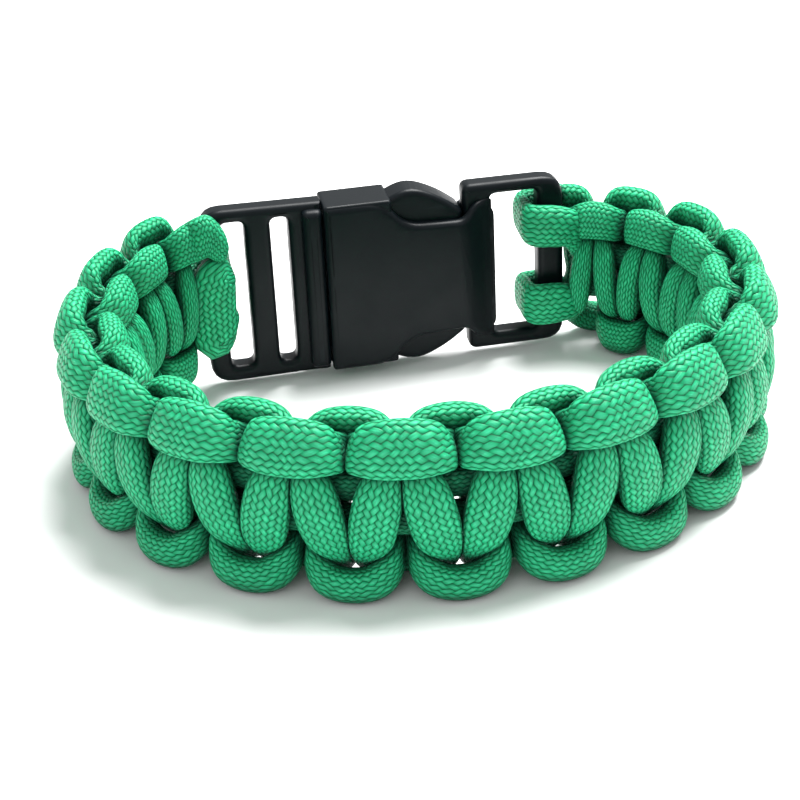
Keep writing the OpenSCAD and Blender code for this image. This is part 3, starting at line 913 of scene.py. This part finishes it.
# %% [markdown]
# The plates of one moulding are joined and cut into small fields, so that their faces can bend. They get the
# slight crown of the body, which a moulder draws so that a large face doesn't look sunken, and the neck,
# where the thick body sweeps down to the thin frame.

# %% A moulding from its plates
FIELD = 1.6             # size of the fields, in mm
WELD = 0.002            # points closer than this are one, in mm
CROWN = 0.05            # share of the thickness that the body loses towards its top and bottom
NECK_EASE = 1.2         # the neck starts and ends this far before the solid end and the slot, in mm
SHARP = math.radians(38)


def moulding(name, plates):
    """Join plates, cut them into fields, thin the neck, crown the body and stand it in its place."""
    work = bmesh.new()
    for mesh in plates:
        work.from_mesh(mesh)
    bmesh.ops.remove_doubles(work, verts=work.verts, dist=WELD * MM)
    for axis, first, last in ((0, -1.0, BUCKLE_LENGTH + 1), (2, -HALF_Z - 1, HALF_Z + 1)):
        for cut in np.arange(first, last, FIELD):
            at, normal = [0, 0, 0], [0, 0, 0]
            at[axis], normal[axis] = cut * MM, 1
            parts = work.verts[:] + work.edges[:] + work.faces[:]
            bmesh.ops.bisect_plane(work, geom=parts, dist=1e-7, plane_co=at, plane_no=normal)
    for vertex in work.verts:
        x, y, z = (c / MM for c in vertex.co)
        t = min(1, max(0, (x - HALL_END + NECK_EASE) / (END_SLOT_START - HALL_END)))
        neck = 1 - (1 - FRAME_THICK / BODY_THICK) * t * t * (3 - 2 * t)
        crown = 1 - CROWN * (z / HALF_Z) ** 2
        if abs(y) > FRAME_THICK / 2 - 0.02 and x > PLUG_LENGTH - 3:
            y *= max(neck, FRAME_THICK / 2 / abs(y)) if abs(y) > FRAME_THICK / 2 else 1
        vertex.co = ((START + x) * MM, (y * crown + SHIFT_Y) * MM, (z + BUCKLE_MIDDLE) * MM)
    bmesh.ops.recalc_face_normals(work, faces=work.faces)
    mesh = bpy.data.meshes.new(name)
    work.to_mesh(mesh)
    work.free()
    mesh.shade_smooth()
    mesh.set_sharp_from_angle(angle=SHARP)
    obj = put(name, mesh)
    obj.modifiers.new("even_shading", "WEIGHTED_NORMAL").keep_sharp = True
    return plain_mesh(obj)


print("the neck runs from", round(HALL_END - NECK_EASE, 2), "to", round(END_SLOT_START - NECK_EASE, 2), "mm")

# %% [markdown]
# The plug is a ladder frame with two slots, a flange that closes the socket's mouth, and two spring arms
# with press pads. Only the pads are seen, in the socket's side windows. The tongue between the arms is out
# of sight inside the socket, so it is left to the CAD solid.

# %% Plug
FRAME_SOFT = 0.85       # the frames' soft edge, in mm
ARM_THICK, ARM_SOFT = 4.3, 0.7
INNER_START = PLUG_BAR + PLUG_SLOT + MIDDLE_BAR
PAD_TOP = HALF_Z + PAD_REACH + 0.3
ladder = plate(soft_corners([(-1.0, -HALF_Z - 0.5, 3.0), (PLUG_LENGTH - 0.6, -HALF_Z - 0.3, 0.2),
                             (PLUG_LENGTH - 0.6, HALF_Z + 0.2, 0.2), (-0.7, HALF_Z + 0.5, 2.6)]),
               [box_outline(first, last, -SLOT_TOP - 0.2, SLOT_TOP + 0.5, 0.9)
                for first, last in ((PLUG_BAR - 0.8, PLUG_BAR + PLUG_SLOT - 0.3),
                                    (INNER_START - 0.7, INNER_START + INNER_SLOT - 0.5))],
               FRAME_THICK, FRAME_SOFT)
flange = plate(box_outline(11.7, PLUG_LENGTH - 0.6, -HALF_Z + 0.5, HALF_Z - 0.5, 0.8), [],
               BODY_THICK - 1.0, 1.0)
arm = [(PLUG_LENGTH - 0.9, 4.8, 0.3), (PLUG_LENGTH - 0.9, 8.6, 0.3), (19.6, 9.2, 2.0), (21.6, 10.6, 2.2),
       (25.2, PAD_TOP + 0.2, 5.0), (29.0, 10.6, 3.0), (32.0, 8.3, 1.0), (31.6, 6.8, 0.8), (27.0, 6.6, 1.0)]
arms = [plate(soft_corners([(x, z * way, radius) for x, z, radius in arm]), [], ARM_THICK, ARM_SOFT)
        for way in (1, -0.96)]     # the lower pad stands out a little less
plug = moulding("plug_moulding", [ladder, flange] + arms)
print("plug faces", len(plug.data.polygons))

# %% [markdown]
# The socket is a box at the mouth, two walls cut away for the pads, a solid end, and a frame with one slot.
# The real one is hollow for the arms. Nobody sees in, so the box is filled here; the CAD solid keeps the
# hollow.

# %% Socket
mouth = plate(box_outline(PLUG_LENGTH - 0.55, 22.8, -HALF_Z + 0.3, HALF_Z, 0.5), [],
              BODY_THICK - 0.5, 0.45)
WALL = [(PLUG_LENGTH - 0.55, HALF_Z - 0.1, 0.5), (21.8, HALF_Z - 0.1, 3.0), (24.4, 7.7, 2.6),
        (32.0, 7.4, 1.6), (33.2, 9.2, 1.4), (35.6, 9.4, 0.3)]
WALL_THICK = 1.9
walls = [plate(both_ways(WALL), [], WALL_THICK, 0.8, middle=way * (BODY_THICK - WALL_THICK) / 2)
         for way in (-1, 1)]
heart = plate(box_outline(22.0, 35.6, -5.6, 5.6, 0.8), [], BODY_THICK - 1.0, 0.5)
root_block = plate(box_outline(32.3, 35.9, -8.3, 8.3, 1.2), [], BODY_THICK - 0.6, 0.9)
end_frame = plate(soft_corners([(32.4, -HALF_Z - 0.2, 1.1), (BUCKLE_LENGTH - 0.3, -HALF_Z - 0.2, 2.8),
                                (BUCKLE_LENGTH - 0.3, HALF_Z, 2.8), (32.0, HALF_Z + 0.1, 1.1)]),
                  [box_outline(END_SLOT_START - 1.6, BUCKLE_LENGTH - END_BAR, -SLOT_TOP, SLOT_TOP + 0.3,
                               0.9)], FRAME_THICK, FRAME_SOFT)
socket = moulding("socket_moulding", [mouth] + walls + [heart, root_block, end_frame])
print("socket faces", len(socket.data.polygons))

# %% [markdown]
# The buckle is moulded acetal, a slippery plastic with a fine satin skin. It is nearly black with a cool
# tint, and its sharp edges are painted a little lighter, as a painted highlight.

# %% Moulded acetal
SPARK_SCALE = 6500.0        # spark-eroded mould texture, about 0.15 mm between grains
CLOUD_SCALE = 260.0         # slow cloudiness of a few millimetres
SPARK_RELIEF = 0.03         # height of the grains, in mm


def moulded_acetal(name, base, edge_highlight):
    material, tree, shader, new = start_material(name)
    spot = new("ShaderNodeTexCoord").outputs["Object"]
    fine = new("ShaderNodeTexNoise", {"Vector": spot, "Scale": SPARK_SCALE, "Detail": 1.0}).outputs[0]
    slow = new("ShaderNodeTexNoise", {"Vector": spot, "Scale": CLOUD_SCALE, "Detail": 3.0}).outputs[0]
    edge = new("ShaderNodeNewGeometry").outputs["Pointiness"]
    # painted highlight: where the surface is sharply convex, along the edges, the colour is painted lighter
    painted_edge_highlight = new("ShaderNodeMapRange", {0: edge, 1: 0.52, 2: 0.62, 3: 0.0, 4: 0.55}).outputs[0]
    colour = new(MIX, {0: painted_edge_highlight, 6: linear(base), 7: linear(edge_highlight)}, data_type="RGBA").outputs[2]
    rough = new("ShaderNodeMapRange", {0: slow, 1: 0.3, 2: 0.7, 3: 0.34, 4: 0.46}).outputs[0]
    bump = new("ShaderNodeBump", {"Strength": 0.25, "Distance": SPARK_RELIEF * MM, "Height": fine})
    fill(tree, shader, {"Base Color": colour, "Roughness": rough, "Normal": bump, "IOR": 1.48,
                        "Specular IOR Level": 0.16})
    return material


# nearly black acetal, and the lighter colour of its painted edge highlight
acetal = moulded_acetal("moulded_black_acetal", "060d11", "11191d")
for piece, node in ((plug, "buckle_plug"), (socket, "buckle_socket")):
    piece.data.materials.append(acetal)
    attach(piece, "root")
    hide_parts(node)
    print(piece.name, "stands for", node, "in", acetal.name)

# %% [markdown]
# The bracelet stands on plain white paper, like the white page of the photograph. The paper also throws
# soft light back up at the bracelet.

# %% Floor
HALF_FLOOR, FLOOR_DROP = 3, 0.00002     # in metres; a hair below zero, so the two never share a plane
corners = [(-HALF_FLOOR, -HALF_FLOOR, 0), (HALF_FLOOR, -HALF_FLOOR, 0), (HALF_FLOOR, HALF_FLOOR, 0),
           (-HALF_FLOOR, HALF_FLOOR, 0)]
floor_mesh = bpy.data.meshes.new("studio_floor")
floor_mesh.from_pydata(corners, [], [(0, 1, 2, 3)])
floor = put("studio_floor", floor_mesh)
floor.location.z = -FLOOR_DROP
paper, paper_tree, shader, _ = start_material("white_paper")
fill(paper_tree, shader, {"Base Color": linear("f4f4f4"), "Roughness": 0.9})
floor_mesh.materials.append(paper)
print("floor of", paper.name, 2 * HALF_FLOOR, "m across")

# %% [markdown]
# The camera stands where the photograph's camera stood: 28 degrees up and a little to the left. Its angles
# and distance were fitted to landmarks on the buckle and the band. The small roll follows the photograph
# too, where the buckle climbs to the right.

# %% Camera
AZIMUTH, ELEVATION, ROLL = math.radians(-9.76), math.radians(28.27), -0.0506
DISTANCE, TARGET = 222.67, Vector((-4.92, -7.47, 12.54))
forward = Vector((math.sin(-AZIMUTH) * math.cos(ELEVATION), math.cos(AZIMUTH) * math.cos(ELEVATION),
                  -math.sin(ELEVATION)))
right = forward.cross(Vector((0, 0, 1))).normalized()
up = right.cross(forward)
right, up = (right * math.cos(ROLL) + up * math.sin(ROLL), -right * math.sin(ROLL) + up * math.cos(ROLL))
lens = bpy.data.cameras.new("photo_camera")
lens.sensor_width, lens.lens, lens.clip_start = 36.0, 90.0, 0.01
camera = put("photo_camera", lens)
camera.matrix_world = Matrix((right, up, -forward)).transposed().to_4x4()
camera.location = (TARGET - forward * DISTANCE) * MM
bpy.context.scene.camera = camera
print("camera at", [round(c, 4) for c in camera.location])

# %% [markdown]
# Product pictures like this one are lit by the whole white room, so the world gives most of the light. One
# large softbox from above and behind brightens the upward faces, and a weak one fills the front.

# %% Light
ROOM_LIGHT = 0.67
world = bpy.data.worlds.new("soft_studio")
world.use_nodes = True
world.node_tree.nodes["Background"].inputs[0].default_value = (1, 1, 1, 1)
world.node_tree.nodes["Background"].inputs[1].default_value = ROOM_LIGHT
bpy.context.scene.world = world


def softbox(name, place, size, power, target=(0, 0, 0.01)):
    light = bpy.data.lights.new(name, "AREA")
    light.shape, light.size, light.energy = "DISK", size, power
    obj = put(name, light)
    obj.location = place
    obj.rotation_euler = (Vector(target) - Vector(place)).to_track_quat("-Z", "Y").to_euler()
    print(name, power, "W,", size, "m across")


softbox("key_softbox", (0.20, 0.20, 0.60), 0.42, 12.0)
softbox("fill_softbox", (-0.35, -0.50, 0.35), 0.50, 0.7)
bpy.context.scene.view_settings.view_transform = "Standard"
